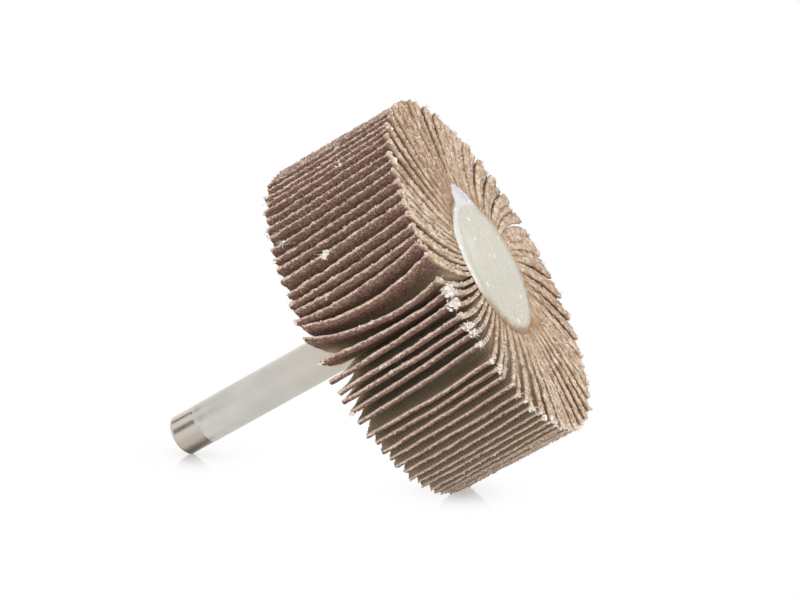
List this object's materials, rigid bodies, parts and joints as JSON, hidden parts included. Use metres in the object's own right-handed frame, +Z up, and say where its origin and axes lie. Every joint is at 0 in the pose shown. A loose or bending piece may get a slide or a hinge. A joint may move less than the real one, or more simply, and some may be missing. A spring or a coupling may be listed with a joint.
{
  "type": "flap wheel",
  "caption": "Mounted flap wheel: a ring of abrasive cloth flaps cast into a resin core on a plain round steel shank, for sanding with a drill or die grinder.",
  "frame": {"origin": "centre of the shank's end face; the part lies on the floor just below it, on the shank's end and the back edge of the rim", "axes": "+Z up; +X is the level direction in which the shank points towards the wheel, whose front face looks along +X and up; Y runs across the wheel"},
  "size_m": [0.0598, 0.0511, 0.0534],
  "materials": {
    "shank_steel": "pale satin plating, with the last 5 mm polished bright",
    "cast_resin": "smooth pale greenish cast resin",
    "abrasive_cloth": "red-brown abrasive grain on ribbed tan cloth, with frayed pale edges"
  },
  "bodies": {
    "root": {"shank": "shank_steel", "resin_core": "cast_resin", "flap_pair_01": "abrasive_cloth", "flap_pair_02": "abrasive_cloth", "flap_pair_03": "abrasive_cloth", "flap_pair_04": "abrasive_cloth", "flap_pair_05": "abrasive_cloth", "flap_pair_06": "abrasive_cloth", "flap_pair_07": "abrasive_cloth", "flap_pair_08": "abrasive_cloth", "flap_pair_09": "abrasive_cloth", "flap_pair_10": "abrasive_cloth", "flap_pair_11": "abrasive_cloth", "flap_pair_12": "abrasive_cloth", "flap_pair_13": "abrasive_cloth", "flap_pair_14": "abrasive_cloth", "flap_pair_15": "abrasive_cloth", "flap_pair_16": "abrasive_cloth", "flap_pair_17": "abrasive_cloth", "flap_pair_18": "abrasive_cloth", "flap_pair_19": "abrasive_cloth", "flap_pair_20": "abrasive_cloth", "flap_pair_21": "abrasive_cloth", "flap_pair_22": "abrasive_cloth", "flap_pair_23": "abrasive_cloth", "flap_pair_24": "abrasive_cloth", "flap_pair_25": "abrasive_cloth", "flap_pair_26": "abrasive_cloth", "flap_pair_27": "abrasive_cloth", "flap_pair_28": "abrasive_cloth", "flap_pair_29": "abrasive_cloth", "flap_pair_30": "abrasive_cloth", "flap_pair_31": "abrasive_cloth", "flap_pair_32": "abrasive_cloth", "flap_pair_33": "abrasive_cloth", "flap_pair_34": "abrasive_cloth", "flap_pair_35": "abrasive_cloth", "flap_pair_36": "abrasive_cloth", "flap_pair_37": "abrasive_cloth", "flap_pair_38": "abrasive_cloth", "flap_pair_39": "abrasive_cloth", "flap_pair_40": "abrasive_cloth", "flap_pair_41": "abrasive_cloth", "flap_pair_42": "abrasive_cloth", "flap_pair_43": "abrasive_cloth", "flap_pair_44": "abrasive_cloth"}
  },
  "joints": []
}
